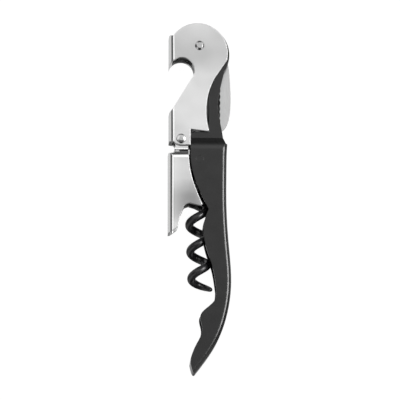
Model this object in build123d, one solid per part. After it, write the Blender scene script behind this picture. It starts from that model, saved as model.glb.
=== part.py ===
from build123d import *
import os
from math import atan2, cos, degrees, pi, radians, sin, tan

# A double-hinged waiter's corkscrew, folded shut and lying on its side.
# +Y runs to the hinged head, +X to the back of the handle, where the foil
# blade lies, and +Z up through the thickness. The origin is under the middle
# of the closed tool, on the surface it lies on. All sizes are millimetres.
# Every hinge axis is parallel to Z.

# --- driving dimensions -------------------------------------------------------
WIDTH = 11.0            # handle body and levers, over the outsides of their cheeks
SHEET = 1.1             # steel sheet of the levers and the handle body
LEVER_BEND = 1.9        # outer bend radius of the levers
NECK_WIDTH = 8.5        # handle neck, which fits between the lever's cheeks
NECK_SHEET = 1.0
NECK_BEND = 1.2         # outer bend radius along the front of the neck
BACK_BEND = 1.5         # outer bend radius along the back of the handle
SIDE_GAP = 0.1          # clearance between the foot's ears and the lever's cheeks
RIVET_HEAD_HEIGHT = 0.6
RUNNING_FIT = 0.05      # radial clearance of each rivet in the pieces that turn on it

HEAD_RIVET = (-0.1, 52.4)     # lever and blade hinge
HEAD_RIVET_R = 1.3
HEAD_RIVET_HEAD_R = 1.65
HEAD_RIVET_FLAT_R = 0.95
KNUCKLE = (-6.4, 20.1)        # hinge between the lever's two parts
KNUCKLE_R = 1.0
KNUCKLE_HEAD_R = 1.7
KNUCKLE_HEAD_HEIGHT = 0.5
KNUCKLE_FLAT_R = 0.7          # small flat in the middle of the rivet's head
EAR_R = 2.3                   # the foot's ears round the knuckle
EAR_RELIEF = 0.35             # cut back below the hinge, so the foot can swing past the lever's web
WORM_PIN = (-0.1, 13.1)
WORM_PIN_R = 1.3

HEAD_CENTRE = (-0.8, 49.8)    # round head of the upper lever
HEAD_R = 10.3
WAIST_TOP = (5.6, 41.9)       # where the waist's curve runs into the head's straight flank
CAP_NOTCH_CENTRE = (-6.2, 43.8)
CAP_NOTCH_R = 4.35
LEVER_LEFT = -10.45
FOOT_LEFT = -10.7
FOOT_TOP = 15.3               # upper end of the foot's web
FLARE_LOW = 14.8              # the foot has its full width up to here ...
FLARE_HIGH = 16.6             # ... and from here up it is as narrow as its ears
FLARE_BENDS = (3.6, 1.2)      # bend radii at the two ends of the flare
NECK_EYE_CENTRE = (-0.4, 49.3)  # round end of the neck, behind the lever's head
NECK_EYE_R = 10.5
SHOULDER_LOW = 18.2           # the handle narrows from here ...
SHOULDER_HIGH = 20.6          # ... to here, where it is as narrow as the neck
HANDLE_BENDS = (3.0, 6.0, 1.2)  # bend radii at the tail's taper and at both ends of the shoulder
TAIL_END = (-1.9, -60.1)
TAIL_TAPER_START = -57.4      # the cheeks draw together from here ...
TAIL_TAPER = 1.2              # ... by this much each at the very end of the tail
WALL_SHARES = (0.0, 0.12, 0.24, 0.36, 0.48, 0.6, 0.72, 0.84, 0.955)  # places along the back wall

BLADE_THICKNESS = 1.0
BLADE_TANG_R = 3.9
SPACER_R = 3.0
SPACER_GAP = 0.05             # play on each side of a spacer
BLADE_EDGE_X = 5.0
SCALLOP_PITCH = 2.1
SCALLOP_DEPTH = 0.35
SCALLOP_COUNT = 9
SCALLOP_START = 23.9
GRIND_TOP_X = 7.2             # the ground serrations run from here down to the edge
GRIND_R = 8.0                 # radius of the wheel that ground them
EDGE_LEFT = 0.05              # steel left beside the mid-plane at the edge

WIRE_R = 1.4                  # worm wire
COIL_R = 2.8                  # helix radius of the wire's centre line
COIL_PITCH = 9.25
COIL_TURNS = 3.75             # full-thickness turns; the taper follows them
COIL_BACK_TURNS = 2.0         # turns from the top of the coil to the reference apex
COIL_APEX_Y = -8.7            # a point where the wire is furthest to the front of the tool
COIL_AXIS_X = -0.65           # the coil's axis there
WORM_TILT = 2.2               # degrees between the coil's axis and the handle
TIP_TURNS = 0.57
TIP_FLARE = 1.2               # how far the point stands outside the coil
TIP_LIFT = 0.7                # how far the point stays short of the coil's pitch
TIP_TAPER = ((0.0, 1.4), (0.35, 1.27), (0.75, 0.84), (1.0, 0.3))  # wire radius along the point


HALF = WIDTH / 2
HALF_IN = HALF - SHEET
NECK_HALF = NECK_WIDTH / 2
NECK_HALF_IN = NECK_HALF - NECK_SHEET
EAR_HALF = HALF_IN - SIDE_GAP
MID_Z = HALF + RIVET_HEAD_HEIGHT
FOOT_WIDTHS = [(-20.0, HALF), (FLARE_LOW, HALF), (FLARE_HIGH, EAR_HALF), (25.0, EAR_HALF)]
FAR = 40.0                    # reach of cutting shapes that run off the piece
RUN_OUT = 8.0                 # how far a fold is carried past the piece before it is trimmed


# --- helpers -------------------------------------------------------------------
def slab(face, half_height):
    """A flat outline given thickness evenly about the mid-plane."""
    return extrude(face, amount=half_height, both=True)


def disc(centre, radius, half_height):
    return Pos(*centre) * Cylinder(radius, 2 * half_height)


def width_profile(points, bends):
    """A block whose thickness varies along Y.

    points are (y, half thickness); bends are the radii at all but the first and the last.
    """
    down = [(y, -z) for y, z in reversed(points)]
    face = make_face(Polyline(*points, *down, close=True))
    for (y, _), radius in zip(points[1:-1], bends):
        corners = [v for v in face.vertices() if abs(v.X - y) < 0.001]
        face = fillet(corners, radius)
    return extrude(Plane.YZ * face, amount=FAR, both=True)


def bar(left, half, bend):
    """A long bar along Y that starts at the left and runs off to +X, with rounded left edges."""
    block = Pos(left + FAR, 0) * Box(2 * FAR, 4 * FAR, 2 * half)
    return fillet(block.edges().filter_by(Axis.Y).group_by(Axis.X)[0], bend)


def place(solid):
    """Lift a piece from the mid-plane to where the tool lies."""
    return Pos(0, 0, MID_Z) * solid


# --- upper lever ----------------------------------------------------------------
def upper_lever_outline():
    """Side view: round head, cap-lifter notch, waist, and the first step with its hinge tab."""
    above_waist = make_face(
        Polyline(WAIST_TOP, (13.2, 53.06), (13.2, 62.0), (-12.0, 62.0), (-12.0, WAIST_TOP[1]), close=True)
    )
    head = above_waist & Pos(*HEAD_CENTRE) * Circle(HEAD_R)
    web_corner = Pos(LEVER_LEFT, 44.0) * Rectangle(7.0, 11.9, align=(Align.MIN, Align.MIN))
    left = LEVER_LEFT
    waist = make_face(
        [
            Polyline(WAIST_TOP, (-0.8, 49.8), (-5.0, 46.0), (-2.3, 42.0), (-9.4, 30.4), (left, 29.2)),
            Polyline((left, 29.2), (left, 19.2), (-8.9, 19.2)),
            ThreePointArc((-8.9, 19.2), (-7.6, 18.2), (-6.0, 17.9)),
            Polyline((-6.0, 17.9), (-3.2, 18.0), (-3.2, 23.4), (2.4, 22.7), (3.1, 22.9)),
            Spline((3.1, 22.9), (2.15, 29.7), (3.8, 38.5), WAIST_TOP, tangents=[(-0.25, 1), (3.2, 4.7)]),
        ]
    )
    notch = Pos(*CAP_NOTCH_CENTRE) * Circle(CAP_NOTCH_R)
    return (head + web_corner + waist) - notch


def upper_lever():
    """Folded steel lever: two cheeks, a web behind the cap lifter and one at the waist."""
    sheet = bar(LEVER_LEFT, HALF, LEVER_BEND) - bar(LEVER_LEFT + SHEET, HALF_IN, LEVER_BEND - SHEET)
    body = sheet & slab(upper_lever_outline(), HALF)
    body = body - disc(HEAD_RIVET, HEAD_RIVET_R, HALF + 1)
    return body - disc(KNUCKLE, KNUCKLE_R, HALF + 1)


# --- lower lever (foot) -----------------------------------------------------------
def foot_outline():
    """Side view of the foot: round hinge ears above, the second step and the tongue below."""
    left = FOOT_LEFT
    knuckle_x, knuckle_y = KNUCKLE
    ear_left = (knuckle_x - EAR_R, knuckle_y)
    ear_right = (knuckle_x + EAR_R, knuckle_y)
    relief_x = ear_left[0] + EAR_RELIEF
    return make_face(
        [
            Line((-3.8, FOOT_TOP), ear_right),
            ThreePointArc(ear_right, (knuckle_x, knuckle_y + EAR_R), ear_left),
            Polyline(ear_left, (ear_left[0], 19.3), (relief_x, 18.5), (relief_x, 17.5), (ear_left[0], 16.9)),
            Polyline((ear_left[0], 16.9), (ear_left[0], FOOT_TOP), (left, FOOT_TOP), (left, -12.2)),
            Polyline((left, -12.2), (-9.9, -11.9), (-7.8, -10.3)),
            Spline((-7.8, -10.3), (-7.3, -9.3), (-6.7, -6.2), (-5.6, -3.6), tangents=[(0.9, 0.8), (0.5, 1)]),
            Spline((-5.6, -3.6), (-5.1, -2.6), (-4.0, -2.1), (0.1, -2.9), tangents=[(0.5, 1), (1, -0.2)]),
            ThreePointArc((0.1, -2.9), (0.6, -2.8), (0.7, -2.3)),
            Spline((0.7, -2.3), (-2.4, 5.8), (-3.8, FOOT_TOP), tangents=[(-0.4, 1), (0, 1)]),
        ]
    )


def lower_lever():
    """Folded steel foot with a web at the left; its cheeks are set inwards to make the ears."""
    inner_widths = [(y, half - SHEET) for y, half in FOOT_WIDTHS]
    outside = bar(FOOT_LEFT, HALF, LEVER_BEND) & width_profile(FOOT_WIDTHS, FLARE_BENDS)
    inside = bar(FOOT_LEFT + SHEET, HALF_IN, LEVER_BEND - SHEET) & width_profile(inner_widths, FLARE_BENDS)
    foot = (outside - inside) & slab(foot_outline(), HALF)
    return foot - disc(KNUCKLE, KNUCKLE_R + RUNNING_FIT, HALF + 1)


# --- handle -------------------------------------------------------------------------
def handle_back():
    """The handle's curved back, from the top of its web down to the tail."""
    return Spline(
        (9.4, 18.3), (9.1, 10.0), (9.05, -1.0), (9.85, -16.0), (10.65, -30.0), (9.1, -40.6),
        (4.95, -51.0), (-0.4, -58.6), tangents=[(-0.1, -1), (-0.7, -0.9)],
    )


def handle_front():
    """The body's front edge: nests on the foot, then one long swelling and the finger grips."""
    upper = Spline((-3.2, 14.4), (-2.4, 8.6), (3.0, -4.1), tangents=[(0.02, -1), (0.5, -1)])
    swell = Spline((3.0, -4.1), (1.2, -10.4), (2.85, -19.6), (5.6, -31.6), tangents=[(-0.5, -1), (0.12, -1)])
    grips = Spline(
        (5.6, -31.6), (4.85, -35.4), (0.15, -40.6), (0.75, -44.6), (-2.4, -52.9), (-3.1, -56.0),
        (-2.7, -58.7), tangents=[(0.0, -1), (0.25, -1)],
    )
    return [upper, swell, grips]


def body_outline():
    """Side view of the body from its shoulder to its tail."""
    back = handle_back()
    tail = Spline((-2.7, -58.7), TAIL_END, (-0.4, -58.6), tangents=[(0.25, -1), (0.7, 0.9)])
    top = Polyline(
        back @ 0, (8.8, 18.6), (8.2, 20.0), (7.8, SHOULDER_HIGH), (-3.2, SHOULDER_HIGH), (-3.2, 14.4)
    )
    return make_face([top, *handle_front(), tail, back])


def neck_outline():
    """The narrow neck and the round eye that carries the head rivet."""
    strip = make_face(
        [
            Polyline((-3.2, 19.6), (-3.2, 21.6), (-2.6, 22.3), (2.0, 23.4), (2.5, 24.2), (2.5, 33.3)),
            Spline((2.5, 33.3), (1.1, 38.5), (-0.9, 43.0), tangents=[(0, 1), (-0.5, 1)]),
            Polyline((-0.9, 43.0), (-3.5, 49.1), (5.0, 55.0), (9.8, 47.8)),
            Spline(
                (9.8, 47.8), (8.0, 42.0), (6.2, 31.0), (7.6, 22.6), (8.1, 19.6),
                tangents=[(-0.5, -1), (0.2, -1)],
            ),
            Line((8.1, 19.6), (-3.2, 19.6)),
        ]
    )
    eye = Pos(*NECK_EYE_CENTRE) * Circle(NECK_EYE_R)
    upper = Pos(-3.5, 49.1) * Rectangle(FAR, FAR, align=(Align.MIN, Align.MIN))
    right = Pos(-0.9, 43.0) * Rectangle(FAR, FAR, align=(Align.MIN, Align.MIN))
    return strip + (eye & upper) + (eye & right)


def hollow_outline():
    """What is open inside the body: everything in front of its back wall."""
    back = handle_back()
    inner = []
    for t in WALL_SHARES:
        along = back % t
        inner.append(back @ t + Vector(along.Y, -along.X) * SHEET)
    wall = Spline(*inner)
    low = wall @ 1
    front = Polyline(low, (low.X - 12, low.Y), (low.X - 12, 18.0), (-2.1, 18.0), (-2.1, 21.0), wall @ 0)
    return make_face([wall, front])


def neck_hollow_outline():
    """What is open inside the neck: behind its front wall, and all round the rivet."""
    return make_face(
        [
            Polyline((-2.1, 17.0), (-2.1, 21.1), (2.6, 22.4), (3.5, 23.6), (3.5, 33.4)),
            Spline((3.5, 33.4), (2.1, 38.9), (0.3, 43.0), tangents=[(0, 1), (-0.45, 1)]),
            Polyline((0.3, 43.0), (-1.4, 46.8), (-14, 46.8), (-14, 64), (14, 64), (14, 19.0)),
            Polyline((14, 19.0), (9.4, 17.0), (-2.1, 17.0)),
        ]
    )


def folded_neck():
    """The neck as a solid bar, rounded along the fold at its front."""
    neck = slab(neck_outline(), NECK_HALF)
    folds = []
    for edge in neck.edges():
        middle = edge.center()
        if abs(abs(middle.Z) - NECK_HALF) < 0.01 and middle.X < 3 and 25 < middle.Y < 42:
            folds.append(edge)
    return fillet(folds, NECK_BEND)


def folded_body():
    """The body as a solid bar, rounded along its back, then trimmed to its outline."""
    back = handle_back()
    above = back @ 0 - (back % 0) * RUN_OUT
    below = back @ 1 + (back % 1) * RUN_OUT
    front = Polyline(below, (-FAR, below.Y), (-FAR, above.Y), above)
    block = slab(make_face([Line(above, back @ 0), back, Line(back @ 1, below), front]), HALF)
    folds = []
    for edge in block.edges():
        middle = edge.center()
        if abs(abs(middle.Z) - HALF) < 0.01 and middle.X > -5 and middle.Y < above.Y - 1:
            folds.append(edge)
    return fillet(folds, BACK_BEND) & slab(body_outline(), HALF)


def handle_widths(body_half, neck_half):
    """Half widths along the handle: tapered at the tail, and drawn in at the shoulder."""
    return [
        (TAIL_END[1] - 1, body_half - TAIL_TAPER),
        (TAIL_TAPER_START, body_half),
        (SHOULDER_LOW, body_half),
        (SHOULDER_HIGH, neck_half),
        (30.0, neck_half),
    ]


def handle():
    """Painted steel handle: body channel open to the front, neck channel open to the back."""
    outside = width_profile(handle_widths(HALF, NECK_HALF), HANDLE_BENDS)
    inside = width_profile(handle_widths(HALF_IN, NECK_HALF_IN), HANDLE_BENDS)
    steel = (folded_body() & outside) + folded_neck()
    steel = steel - (slab(hollow_outline(), HALF_IN) & inside)
    steel = steel - slab(neck_hollow_outline(), NECK_HALF_IN)
    steel = steel - disc(HEAD_RIVET, HEAD_RIVET_R + RUNNING_FIT, HALF)
    return steel - disc(WORM_PIN, WORM_PIN_R, HALF + 1)


# --- foil blade -----------------------------------------------------------------------
def blade_outline():
    """Side view: curved spine, scalloped edge and the tang round the rivet."""
    spine = Spline((9.5, 47.8), (10.4, 42.0), (10.7, 33.5), (9.3, 25.3), tangents=[(0.35, -1), (-0.5, -1)])
    tip = ThreePointArc((9.3, 25.3), (8.1, 23.8), (6.6, 23.1))
    scallops = []
    for k in range(SCALLOP_COUNT):
        low = SCALLOP_START + k * SCALLOP_PITCH
        deepest = (BLADE_EDGE_X + SCALLOP_DEPTH, low + SCALLOP_PITCH / 2)
        scallops.append(ThreePointArc((BLADE_EDGE_X, low), deepest, (BLADE_EDGE_X, low + SCALLOP_PITCH)))
    heel = Line((6.6, 23.1), (BLADE_EDGE_X, SCALLOP_START))
    top = SCALLOP_START + SCALLOP_COUNT * SCALLOP_PITCH
    tang = Polyline((BLADE_EDGE_X, top), (4.4, 44.2), (0.6, 47.4), HEAD_RIVET, (3.0, 55.0), (9.5, 47.8))
    return make_face([spine, tip, heel, *scallops, tang])


def grind_mark(y):
    """The round groove that one pass of the grinding wheel leaves, sloping down to the edge."""
    run = GRIND_TOP_X - BLADE_EDGE_X
    drop = BLADE_THICKNESS / 2 - EDGE_LEFT
    slope = atan2(drop, run)
    middle = Vector(BLADE_EDGE_X + run / 2, y, BLADE_THICKNESS / 2 - drop / 2)
    centre = middle + Vector(-sin(slope), 0, cos(slope)) * GRIND_R
    return Pos(*centre) * Rot(0, 90 - degrees(slope), 0) * Cylinder(GRIND_R, 2.5 * run)


def foil_blade():
    """Short serrated blade, ground on one side; its tang turns on the head rivet."""
    face = blade_outline() + Pos(*HEAD_RIVET) * Circle(BLADE_TANG_R)
    blade = slab(face, BLADE_THICKNESS / 2)
    for k in range(SCALLOP_COUNT):
        blade = blade - grind_mark(SCALLOP_START + (k + 0.5) * SCALLOP_PITCH)
    return blade - disc(HEAD_RIVET, HEAD_RIVET_R + RUNNING_FIT, BLADE_THICKNESS)


def blade_spacer(side):
    """Bush on the head rivet that keeps the blade in the middle of the neck."""
    low = BLADE_THICKNESS / 2 + SPACER_GAP
    high = NECK_HALF_IN - SPACER_GAP
    ring = Cylinder(SPACER_R, high - low) - Cylinder(HEAD_RIVET_R + RUNNING_FIT, high - low)
    return Pos(*HEAD_RIVET, side * (low + high) / 2) * ring


# --- rivets and pin ----------------------------------------------------------------------
def rivet(centre, shank_r, head_r, head_height, flat_r):
    """A rivet closed on both sides with low domed heads that end in a small flat."""
    body = disc(centre, shank_r, HALF)
    profile = make_face(
        [
            Polyline((0, 0), (head_r, 0), (head_r, 0.15 * head_height)),
            Spline(
                (head_r, 0.15 * head_height), (0.85 * head_r, 0.66 * head_height), (flat_r, head_height),
                tangents=[(0, 1), (-1, 0.25)],
            ),
            Polyline((flat_r, head_height), (0, head_height), (0, 0)),
        ]
    )
    dome = revolve(Plane.XZ * profile, Axis.Z)
    upper = Pos(*centre, HALF) * dome
    lower = Pos(*centre, -HALF) * Rot(180, 0, 0) * dome
    return body + upper + lower


def worm_pin():
    """Plain pin through the handle's cheeks, finished flush."""
    return disc(WORM_PIN, WORM_PIN_R, HALF)


# --- worm -----------------------------------------------------------------------------------
def coil_frame(y):
    """A plane across the coil's axis at height y: x across the tool, y up out of it, z to the tip."""
    tilt = radians(WORM_TILT)
    x = COIL_AXIS_X + (COIL_APEX_Y - y) * tan(tilt)
    return Plane(origin=(x, y, 0), x_dir=(cos(tilt), sin(tilt), 0), z_dir=(sin(tilt), -cos(tilt), 0))


def on_coil(turn, radius=COIL_R):
    """The wire's centre line: turn 0 is at the back of the coil, half a turn is at its front."""
    start = coil_frame(COIL_APEX_Y + (COIL_BACK_TURNS - 0.25) * COIL_PITCH * cos(radians(WORM_TILT)))
    angle = 2 * pi * (turn - 0.25)
    local = Vector(radius * cos(angle), radius * sin(angle), COIL_PITCH * turn)
    return start.from_local_coords(local)


def heading(turn):
    return (on_coil(turn + 0.001) - on_coil(turn - 0.001)).normalized()


def worm():
    """Steel wire coiled into a screw; an eye at its top turns on the worm pin."""
    eye_r = WORM_PIN_R + RUNNING_FIT + WIRE_R
    eye_path = CenterArc(WORM_PIN, eye_r, -90, 270)
    eye = sweep(Plane(eye_path @ 0, z_dir=eye_path % 0) * Circle(WIRE_R), path=eye_path)
    shank_path = Spline(eye_path @ 1, on_coil(0), tangents=[eye_path % 1, heading(0)])
    shank = sweep(Plane(shank_path @ 0, z_dir=shank_path % 0) * Circle(WIRE_R), path=shank_path)

    start = on_coil(0)
    frame = coil_frame(start.Y)
    axis_start = start + frame.y_dir * COIL_R
    turns_plane = Plane(origin=axis_start, x_dir=-frame.y_dir, z_dir=frame.z_dir)
    coil_path = turns_plane * Helix(COIL_PITCH, COIL_PITCH * COIL_TURNS, COIL_R)
    coil = sweep(Plane(coil_path @ 0, z_dir=coil_path % 0) * Circle(WIRE_R), path=coil_path, is_frenet=True)

    tip_steps = 6
    tip_points = []
    for k in range(tip_steps + 1):
        share = k / tip_steps
        point = on_coil(COIL_TURNS + TIP_TURNS * share, COIL_R + TIP_FLARE * share**2)
        tip_points.append(point - frame.z_dir * TIP_LIFT * share**2)
    last_step = tip_points[-1] - tip_points[-2]
    tip_path = Spline(*tip_points, tangents=[heading(COIL_TURNS), last_step.normalized()])
    rings = []
    for share, radius in TIP_TAPER:
        rings.append(Plane(tip_path @ share, z_dir=tip_path % share) * Circle(radius))
    tip = sweep(rings, path=tip_path, multisection=True)
    return eye + shank + coil + tip


# --- write the pieces ---------------------------------------------------------------------------
def main():
    head_rivet_head = (HEAD_RIVET_HEAD_R, RIVET_HEAD_HEIGHT, HEAD_RIVET_FLAT_R)
    knuckle_head = (KNUCKLE_HEAD_R, KNUCKLE_HEAD_HEIGHT, KNUCKLE_FLAT_R)
    pieces = {
        "handle": handle(),
        "upper_lever": upper_lever(),
        "lower_lever": lower_lever(),
        "foil_blade": foil_blade(),
        "blade_spacer_top": blade_spacer(1),
        "blade_spacer_bottom": blade_spacer(-1),
        "head_rivet": rivet(HEAD_RIVET, HEAD_RIVET_R, *head_rivet_head),
        "knuckle_rivet": rivet(KNUCKLE, KNUCKLE_R, *knuckle_head),
        "worm_pin": worm_pin(),
        "worm": worm(),
    }
    os.makedirs("parts", exist_ok=True)
    for name, solid in pieces.items():
        export_step(place(solid), f"parts/{name}.step")


main()
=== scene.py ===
import math

import bpy
from mathutils import Matrix, Vector


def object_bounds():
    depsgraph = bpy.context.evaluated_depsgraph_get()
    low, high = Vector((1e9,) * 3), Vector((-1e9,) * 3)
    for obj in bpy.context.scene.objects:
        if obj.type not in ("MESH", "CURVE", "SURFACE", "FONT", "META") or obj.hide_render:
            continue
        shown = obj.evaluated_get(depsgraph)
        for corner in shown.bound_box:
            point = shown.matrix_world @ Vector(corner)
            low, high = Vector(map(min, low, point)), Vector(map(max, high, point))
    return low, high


# A folded waiter's corkscrew on a pale table. The CAD nodes keep their shapes: this script gives each
# its finish, and makes the table, the light and the camera. +Y is towards the head, +X towards the
# handle's back, and +Z is up.

MM = 0.001
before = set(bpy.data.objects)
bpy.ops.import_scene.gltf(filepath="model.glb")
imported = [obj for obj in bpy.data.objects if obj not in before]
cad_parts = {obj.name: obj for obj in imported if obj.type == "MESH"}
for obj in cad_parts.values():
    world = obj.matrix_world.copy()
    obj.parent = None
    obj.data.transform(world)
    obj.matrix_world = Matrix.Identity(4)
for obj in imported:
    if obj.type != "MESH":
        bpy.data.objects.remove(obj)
CAD_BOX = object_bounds()

# --- view: a long lens overhead, leaning a little towards the tail and the lever's side -----------
LENS = 400.0
SENSOR = 36.0
PICTURE_WIDTH = 136.0 * MM      # what the picture shows across at AIM, the tool's upper side
TAIL_TILT = math.radians(8.3)
FRONT_TILT = math.radians(2.5)
AIM = Vector((0.0, -1.0 * MM, 11.6 * MM))
CLIP_START = 0.1
CLIP_END = 20.0

# --- tent: (place, grey) stops over the direction of the light -----------------------------------
TENT_STRENGTH = 1.6
# On the cards and between them, by degrees down from overhead. The ends are the same for both.
CROWN = ((0, 0.06), (4, 0.22), (7, 0.39), (10, 0.52), (13, 0.64), (22, 0.85), (30, 0.85))
BELOW = ((90, 0.60), (96, 0.50), (105, 0.42), (180, 0.42))
CARD_GREYS = CROWN + ((38, 0.30), (44, 0.05), (62, 0.03), (75, 0.18), (87, 0.26)) + BELOW
OPEN_GREYS = CROWN + ((44, 0.60), (70, 0.45), (86, 0.45)) + BELOW
# The cards are multiplied by these, which darken them towards the tail, by the direction's Y.
TAIL_CARD_GREYS = ((-0.35, 0.03), (-0.12, 0.20), (-0.02, 0.60), (0.09, 0.95), (0.20, 1.0))
# 0 on the cards and 1 between them, by the smaller of the direction's |X| and |Y|.
CARD_EDGE = ((0.28, 0.0), (0.42, 1.0))

# --- softboxes: two in one place, each for some nodes and neither for the bushes -----------------
SOFTBOX_DOWN = math.radians(37.0)
SOFTBOX_FAR = 0.60              # from the tool's middle, before the shift
SOFTBOX_WIDTH = 0.25
SOFTBOX_LENGTH = 0.36
SOFTBOX_SHIFT = 0.08            # towards the head
STRONG_RADIANCE = 13.0
WEAK_RADIANCE = 2.5
DARK_NODES = ("handle", "worm_pin", "worm")
BRIGHT_NODES = ("upper_lever", "lower_lever", "foil_blade", "head_rivet", "knuckle_rivet")

# --- table --------------------------------------------------------------------------------
TABLE_HALF = 4.0                # half of its side
TABLE_GLOW = 0.97

# --- how far from flat the levers' plates are, in millimetres: guessed from their soft gradients --
PRESS_RISE = 0.4
UPPER_PRESS = {"rise_from": 42.0, "rise_to": 62.0, "dish_x": -2.0, "dish_radius": 2000.0}
LOWER_PRESS = {"rise_from": -9.0, "rise_to": 6.5, "dish_x": -5.3, "dish_radius": 90.0}


# --- node helpers -------------------------------------------------------------------------
class NodeTree:
    """Short ways to add nodes. A value is a constant or another node's output."""

    def __init__(self, tree):
        self.nodes = tree.nodes
        self.links = tree.links

    def feed(self, socket, value):
        if isinstance(value, bpy.types.NodeSocket):
            self.links.new(value, socket)
        else:
            socket.default_value = value

    def add(self, kind, values=None, **settings):
        """A new node. Values go to its inputs by name or number."""
        node = self.nodes.new(kind)
        for key, setting in settings.items():
            setattr(node, key, setting)
        for key, value in (values or {}).items():
            self.feed(node.inputs[key], value)
        return node

    def maths(self, operation, *values):
        node = self.add("ShaderNodeMath", dict(enumerate(values)), operation=operation)
        return node.outputs["Value"]

    def blend(self, share, first, second, kind="MIX"):
        """Mixes two colours. A Mix node's sockets share their names, so the colour ones go by number."""
        values = {0: share, 6: first, 7: second}
        return self.add("ShaderNodeMix", values, data_type="RGBA", blend_type=kind).outputs[2]

    def ramp(self, value, *stops):
        """Stops are (place, grey) or (place, (r, g, b))."""
        node = self.add("ShaderNodeValToRGB", {"Fac": value})
        elements = node.color_ramp.elements
        while len(elements) < len(stops):
            elements.new(0.5)
        for element, (place, colour) in zip(elements, stops):
            rgb = colour if isinstance(colour, tuple) else (colour,) * 3
            element.position = place
            element.color = (*rgb, 1)
        return node.outputs["Color"]

    def graded(self, value, low, high, stops):
        """A ramp with its places in the value's own units, which run from low to high."""
        span = self.add("ShaderNodeMapRange", {"Value": value, "From Min": low, "From Max": high})
        shares = [((place - low) / (high - low), grey) for place, grey in stops]
        return self.ramp(span.outputs["Result"], *shares)


class Finish(NodeTree):
    """A principled material. Its textures and depths are measured in millimetres on the piece."""

    def __init__(self, name):
        self.material = bpy.data.materials.new(name)
        self.material.use_nodes = True
        super().__init__(self.material.node_tree)
        self.shader = self.nodes["Principled BSDF"]

    def set(self, **values):
        for name, value in values.items():
            self.feed(self.shader.inputs[name.replace("_", " ")], value)

    def coords(self, stretch=(1, 1, 1)):
        """Places on the piece, counted in millimetres and multiplied along each axis."""
        where = self.add("ShaderNodeTexCoord").outputs["Object"]
        values = {"Vector": where, "Scale": [s / MM for s in stretch]}
        return self.add("ShaderNodeMapping", values).outputs["Vector"]

    def noise(self, scale, detail=3.0, roughness=0.5, stretch=(1, 1, 1)):
        """At a scale of 1 its features are about 1 mm wide."""
        values = {"Scale": scale, "Detail": detail, "Roughness": roughness}
        values["Vector"] = self.coords(stretch)
        return self.add("ShaderNodeTexNoise", values).outputs["Fac"]

    def bump(self, height, depth, normal=None):
        """Normals for a height whose unit is this depth, on top of other normals."""
        values = {"Strength": 1.0, "Distance": depth * MM, "Height": height}
        if normal is not None:
            values["Normal"] = normal
        return self.add("ShaderNodeBump", values).outputs["Normal"]

    def rounded(self, radius):
        """Normals as if the sharp edges were rounded off by this radius."""
        return self.add("ShaderNodeBevel", {"Radius": radius * MM}, samples=6).outputs["Normal"]

    def edge_mask(self, radius):
        """About 1 along sharp edges and 0 on flats."""
        sharp = self.add("ShaderNodeNewGeometry").outputs["Normal"]
        values = {0: self.rounded(radius), 1: sharp}
        likeness = self.add("ShaderNodeVectorMath", values, operation="DOT_PRODUCT")
        return self.ramp(likeness.outputs["Value"], (0.80, 1.0), (0.995, 0.0))


# --- materials ----------------------------------------------------------------------------
def painted_handle():
    """Dark grey satin paint over steel: a fine orange peel, and a little wear on the edges."""
    f = Finish("painted_handle")
    cloud = f.ramp(f.noise(0.06, detail=2.0), (0.3, 0.007), (0.7, 0.010))
    grain = f.noise(3.5, detail=2.0, roughness=0.7)
    speck = f.ramp(grain, (0.45, 0.85), (0.62, 1.0))
    paint = f.blend(1.0, cloud, speck, "MULTIPLY")
    bare_steel = (0.12, 0.12, 0.12, 1)
    patches = f.ramp(f.noise(0.8, detail=4.0), (0.45, 0.0), (0.7, 0.25))
    worn = f.maths("MULTIPLY", f.edge_mask(radius=0.18), patches)
    peel = f.bump(f.noise(1.6, detail=2.0), depth=0.006, normal=f.rounded(radius=0.12))
    f.set(
        Base_Color=f.blend(worn, paint, bare_steel),
        Metallic=0.0,
        IOR=1.5,
        Roughness=f.ramp(f.noise(0.25, detail=4.0), (0.3, 0.20), (0.7, 0.26)),
        Normal=f.bump(grain, depth=0.002, normal=peel),
    )
    return f.material


def polished_steel(name, rise_from, rise_to, dish_x, dish_radius):
    """Nickel-plated sheet: soft mirror with polishing lines, smudges, pits and a slow waviness.

    The press has left it not quite flat: it rises along Y from rise_from to rise_to, and across X it is
    dished about dish_x.
    """
    f = Finish(name)
    smudge = f.noise(0.12, detail=5.0, roughness=0.6)
    lines = f.noise(1.0, stretch=(6.0, 0.35, 6.0))
    pits = f.noise(3.0, detail=2.0)
    wave = f.noise(0.07, detail=1.0)
    place = f.add("ShaderNodeSeparateXYZ", {"Vector": f.coords()})
    span = {"Value": place.outputs["Y"], "From Min": rise_from, "From Max": rise_to, "To Max": PRESS_RISE}
    rise = f.add("ShaderNodeMapRange", span, interpolation_type="SMOOTHSTEP").outputs["Result"]
    across = f.maths("SUBTRACT", place.outputs["X"], dish_x)
    dish = f.maths("DIVIDE", f.maths("MULTIPLY", across, across), 2.0 * dish_radius)
    surface = f.bump(lines, depth=0.0006, normal=f.rounded(radius=0.35))
    surface = f.bump(pits, depth=0.0012, normal=surface)
    surface = f.bump(f.maths("ADD", rise, dish), depth=1.0, normal=surface)
    f.set(
        Base_Color=f.ramp(smudge, (0.35, 0.84), (0.65, 0.88)),
        Metallic=1.0,
        Roughness=f.ramp(smudge, (0.3, 0.11), (0.7, 0.17)),
        Normal=f.bump(wave, depth=0.12, normal=surface),
    )
    return f.material


def rivet_steel():
    """Bright rivet with small dents from the closing tool."""
    f = Finish("rivet_steel")
    f.set(
        Base_Color=f.ramp(f.noise(0.8), (0.3, 0.52), (0.7, 0.62)),
        Metallic=1.0,
        Roughness=f.ramp(f.noise(2.0), (0.3, 0.14), (0.7, 0.24)),
        Normal=f.bump(f.noise(2.4), depth=0.006, normal=f.rounded(radius=0.1)),
    )
    return f.material


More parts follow.
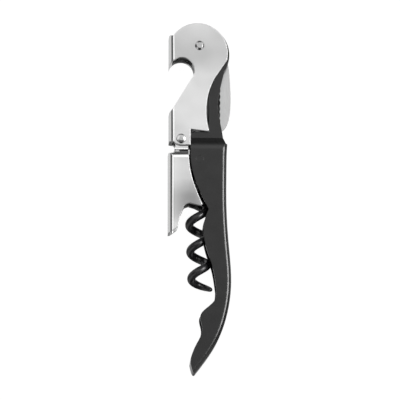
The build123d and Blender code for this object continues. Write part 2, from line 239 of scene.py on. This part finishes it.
def blade_steel():
    """Stainless blade, ground along its length."""
    f = Finish("blade_steel")
    lines = f.noise(1.0, detail=4.0, stretch=(9.0, 0.4, 9.0))
    f.set(
        Base_Color=f.ramp(lines, (0.3, 0.60), (0.7, 0.68)),
        Metallic=1.0,
        Roughness=f.ramp(lines, (0.3, 0.16), (0.7, 0.24)),
        Normal=f.bump(lines, depth=0.0012, normal=f.rounded(radius=0.08)),
    )
    return f.material


def worm_coating():
    """Black low-friction coating on wire, a little cloudy and uneven."""
    f = Finish("worm_coating")
    cloud = f.noise(0.5, detail=4.0)
    f.set(
        Base_Color=f.ramp(cloud, (0.35, (0.008, 0.008, 0.009)), (0.7, (0.018, 0.018, 0.019))),
        Metallic=0.0,
        IOR=1.5,
        Roughness=f.ramp(cloud, (0.3, 0.24), (0.7, 0.36)),
        Normal=f.bump(f.noise(1.8), depth=0.012),
    )
    return f.material


def bush_steel():
    """Turned bushes: fine rings and a duller surface."""
    f = Finish("bush_steel")
    rings = f.noise(1.0, stretch=(0.5, 0.5, 8.0))
    f.set(
        Base_Color=f.ramp(rings, (0.3, 0.42), (0.7, 0.55)),
        Metallic=1.0,
        Roughness=f.ramp(rings, (0.3, 0.34), (0.7, 0.46)),
        Normal=f.bump(rings, depth=0.003),
    )
    return f.material


def table_top():
    """Pale matt table that glows as a light table does."""
    f = Finish("table_top")
    f.set(
        Base_Color=f.ramp(f.noise(0.2, detail=4.0), (0.3, 0.14), (0.7, 0.15)),
        Metallic=0.0,
        Roughness=0.9,
        Emission_Color=(1, 1, 1, 1),
        Emission_Strength=TABLE_GLOW,
    )
    return f.material


def finish_nodes():
    """The CAD nodes' finishes. The pin is painted over with the handle."""
    paint = painted_handle()
    rivet = rivet_steel()
    bush = bush_steel()
    finishes = {
        "handle": paint,
        "worm_pin": paint,
        "upper_lever": polished_steel("upper_lever_plate", **UPPER_PRESS),
        "lower_lever": polished_steel("lower_lever_plate", **LOWER_PRESS),
        "foil_blade": blade_steel(),
        "head_rivet": rivet,
        "knuckle_rivet": rivet,
        "blade_spacer_top": bush,
        "blade_spacer_bottom": bush,
        "worm": worm_coating(),
    }
    for node, material in finishes.items():
        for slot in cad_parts[node].material_slots:
            slot.material = material


# --- surroundings --------------------------------------------------------------------------
def floor():
    """A square table that the tool's lowest point touches. It does not show in reflections."""
    square = ((-1, -1), (1, -1), (1, 1), (-1, 1))
    corners = [(x * TABLE_HALF, y * TABLE_HALF, CAD_BOX[0].z) for x, y in square]
    mesh = bpy.data.meshes.new("table")
    mesh.from_pydata(corners, [], [(0, 1, 2, 3)])
    mesh.materials.append(table_top())
    table = bpy.data.objects.new("table", mesh)
    table.visible_glossy = False
    bpy.context.collection.objects.link(table)


def studio_walls():
    """The light tent: a bright ring round a dark crown, and dark cards at the head, tail and sides."""
    world = bpy.data.worlds.new("tent")
    world.use_nodes = True
    tent = NodeTree(world.node_tree)
    direction = tent.add("ShaderNodeTexCoord").outputs["Generated"]
    x, y, z = tent.add("ShaderNodeSeparateXYZ", {"Vector": direction}).outputs
    down = tent.maths("DEGREES", tent.maths("ARCCOSINE", z))
    cards = tent.graded(down, 0.0, 180.0, CARD_GREYS)
    cards = tent.blend(1.0, cards, tent.graded(y, -1.0, 1.0, TAIL_CARD_GREYS), "MULTIPLY")
    between = tent.graded(down, 0.0, 180.0, OPEN_GREYS)
    aside = tent.maths("MINIMUM", tent.maths("ABSOLUTE", x), tent.maths("ABSOLUTE", y))
    light = tent.blend(tent.graded(aside, 0.0, 1.0, CARD_EDGE), cards, between)
    background = tent.nodes["Background"]
    tent.feed(background.inputs["Color"], light)
    tent.feed(background.inputs["Strength"], TENT_STRENGTH)
    bpy.context.scene.world = world


def softbox(name, radiance, lit):
    """A long soft light on the back's side, part of the way down from overhead, for the lit nodes only."""
    lamp = bpy.data.lights.new(name, "AREA")
    lamp.shape = "RECTANGLE"
    lamp.size = SOFTBOX_WIDTH
    lamp.size_y = SOFTBOX_LENGTH
    lamp.energy = radiance * math.pi * SOFTBOX_WIDTH * SOFTBOX_LENGTH
    aside = math.sin(SOFTBOX_DOWN) * SOFTBOX_FAR
    above = math.cos(SOFTBOX_DOWN) * SOFTBOX_FAR
    light = bpy.data.objects.new(name, lamp)
    light.location = (aside, SOFTBOX_SHIFT, above)
    light.rotation_euler = (0.0, SOFTBOX_DOWN, 0.0)
    light.visible_camera = False
    bpy.context.collection.objects.link(light)
    receivers = bpy.data.collections.new(name + "_receivers")
    for node in lit:
        receivers.objects.link(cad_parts[node])
    light.light_linking.receiver_collection = receivers


def camera():
    """It looks at AIM from far off, with the head at the top of the picture."""
    back = Vector((-math.tan(FRONT_TILT), -math.tan(TAIL_TILT), 1.0)).normalized()
    head = Vector((0, 1, 0))
    up = (head - back * back.y).normalized()
    right = up.cross(back)
    data = bpy.data.cameras.new("camera")
    data.lens = LENS
    data.sensor_width = SENSOR
    data.clip_start = CLIP_START
    data.clip_end = CLIP_END
    cam = bpy.data.objects.new("camera", data)
    cam.location = AIM + back * (PICTURE_WIDTH * LENS / SENSOR)
    cam.rotation_mode = "QUATERNION"
    cam.rotation_quaternion = Matrix((right, up, back)).transposed().to_quaternion()
    bpy.context.collection.objects.link(cam)
    bpy.context.scene.camera = cam


finish_nodes()
floor()
studio_walls()
softbox("back_softbox", STRONG_RADIANCE, DARK_NODES)
softbox("back_fill", WEAK_RADIANCE, BRIGHT_NODES)
camera()
bpy.context.scene.view_settings.view_transform = "Standard"
